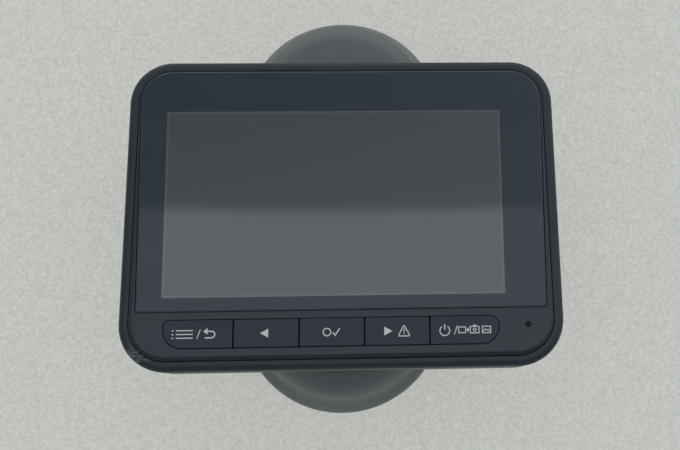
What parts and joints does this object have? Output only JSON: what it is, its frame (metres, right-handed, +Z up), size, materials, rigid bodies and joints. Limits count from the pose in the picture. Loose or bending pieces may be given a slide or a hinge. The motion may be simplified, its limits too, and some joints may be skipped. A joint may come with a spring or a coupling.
{
  "type": "dash camera",
  "caption": "Windscreen dash camera with a wide screen over a row of keys, a wide-angle lens and a folding suction mount.",
  "frame": {"origin": "centre of the suction cup's contact face, where the mount meets the windscreen", "axes": "+Y out through the windscreen, away from the driver who looks at the screen; +Z up; +X to that driver's right"},
  "size_m": [0.0862, 0.0361, 0.0904],
  "materials": {
    "housing_black": "fine satin texture",
    "bezel_black": "satin",
    "key_black": "satin",
    "screen_glass": "polished, black printed border",
    "gasket_black": "matte foam tape",
    "lcd_grey": "satin polariser",
    "backlight_white": "milky",
    "tray_steel": "satin",
    "board_green": "solder mask",
    "chip_black": "moulded epoxy",
    "heat_pad_grey": "soft matte",
    "heat_aluminium": "satin",
    "cell_wrap": "shrink wrap",
    "speaker_black": "satin",
    "connector_steel": "satin",
    "holder_black": "matte",
    "filter_glass": "polished",
    "lens_glass": "coated",
    "barrel_black": "matte anodised",
    "ring_black": "gloss",
    "screw_steel": "black zinc",
    "bracket_black": "powder coat",
    "pin_steel": "satin",
    "washer_white": "acetal",
    "mount_grey": "satin",
    "arm_grey": "satin",
    "lever_grey": "satin",
    "cup_rubber": "smooth smoke-grey rubber",
    "card_black": "satin",
    "pipe_clear": "clear",
    "cable_amber": "polyimide"
  },
  "bodies": {
    "mount_base": {"base_housing": "mount_grey", "suction_cup": "cup_rubber", "base_hinge_pin": "pin_steel", "base_hinge_nut": "pin_steel", "base_hinge_washers": "washer_white"},
    "lever": {"twist_lever": "lever_grey"},
    "stem": {"pull_stem": "lever_grey", "stem_ring": "lever_grey"},
    "arm": {"fold_arm": "arm_grey"},
    "camera": {"front_shell": "housing_black", "rear_bezel": "bezel_black", "cover_glass": "screen_glass", "glass_gasket": "gasket_black", "lcd_panel": "lcd_grey", "lcd_backlight": "backlight_white", "lcd_bracket": "tray_steel", "screen_cable": "cable_amber", "key_board": "board_green", "key_switches": "chip_black", "status_light_pipe": "pipe_clear", "microphone": "connector_steel", "main_board": "board_green", "processor": "chip_black", "memory_chips": "chip_black", "heat_pad": "heat_pad_grey", "heat_spreader": "heat_aluminium", "backup_battery": "cell_wrap", "speaker": "speaker_black", "card_socket": "connector_steel", "usb_socket": "connector_steel", "image_sensor": "chip_black", "lens_holder": "holder_black", "infrared_filter": "filter_glass", "lens_barrel": "barrel_black", "front_lens": "lens_glass", "inner_lenses": "lens_glass", "lens_ring": "ring_black", "case_screws": "screw_steel", "board_screws": "screw_steel", "bracket_screws": "screw_steel", "camera_bracket": "bracket_black", "camera_hinge_pin": "pin_steel", "camera_hinge_nut": "pin_steel", "camera_hinge_washers": "washer_white"},
    "menu_button": {"menu_key": "key_black"},
    "previous_button": {"previous_key": "key_black"},
    "confirm_button": {"confirm_key": "key_black"},
    "next_button": {"next_key": "key_black"},
    "power_button": {"power_key": "key_black"},
    "card": {"memory_card": "card_black"}
  },
  "joints": [
    {"name": "arm_fold", "type": "hinge", "parent": "mount_base", "child": "arm", "pos_m": [0, -0.015, -0.0323], "axis": [1, 0, 0], "range_deg": [0, 70]},
    {"name": "camera_tilt", "type": "hinge", "parent": "arm", "child": "camera", "pos_m": [0, -0.015, 0.02], "axis": [-1, 0, 0], "range_deg": [0, 90]},
    {"name": "lever_twist", "type": "hinge", "parent": "mount_base", "child": "lever", "pos_m": [0, -0.009, 0], "axis": [0, -1, 0], "range_deg": [0, 50]},
    {"name": "stem_pull", "type": "slide", "parent": "mount_base", "child": "stem", "axis": [0, -1, 0], "range_m": [0, 0.0011]},
    {"name": "menu_press", "type": "slide", "parent": "camera", "child": "menu_button", "axis": [0, 1, 0], "range_m": [0, 0.00035], "stiffness_N_per_m": 120, "springref_m": -0.001},
    {"name": "previous_press", "type": "slide", "parent": "camera", "child": "previous_button", "axis": [0, 1, 0], "range_m": [0, 0.00035], "stiffness_N_per_m": 120, "springref_m": -0.001},
    {"name": "confirm_press", "type": "slide", "parent": "camera", "child": "confirm_button", "axis": [0, 1, 0], "range_m": [0, 0.00035], "stiffness_N_per_m": 120, "springref_m": -0.001},
    {"name": "next_press", "type": "slide", "parent": "camera", "child": "next_button", "axis": [0, 1, 0], "range_m": [0, 0.00035], "stiffness_N_per_m": 120, "springref_m": -0.001},
    {"name": "power_press", "type": "slide", "parent": "camera", "child": "power_button", "axis": [0, 1, 0], "range_m": [0, 0.00035], "stiffness_N_per_m": 120, "springref_m": -0.001},
    {"name": "card_eject", "type": "slide", "parent": "camera", "child": "card", "axis": [0, 0, -1], "range_m": [0, 0.006]}
  ],
  "couplings": [
    {"joint": "lever_twist", "follows": "stem_pull", "rad_per_m": 793.3}
  ]
}
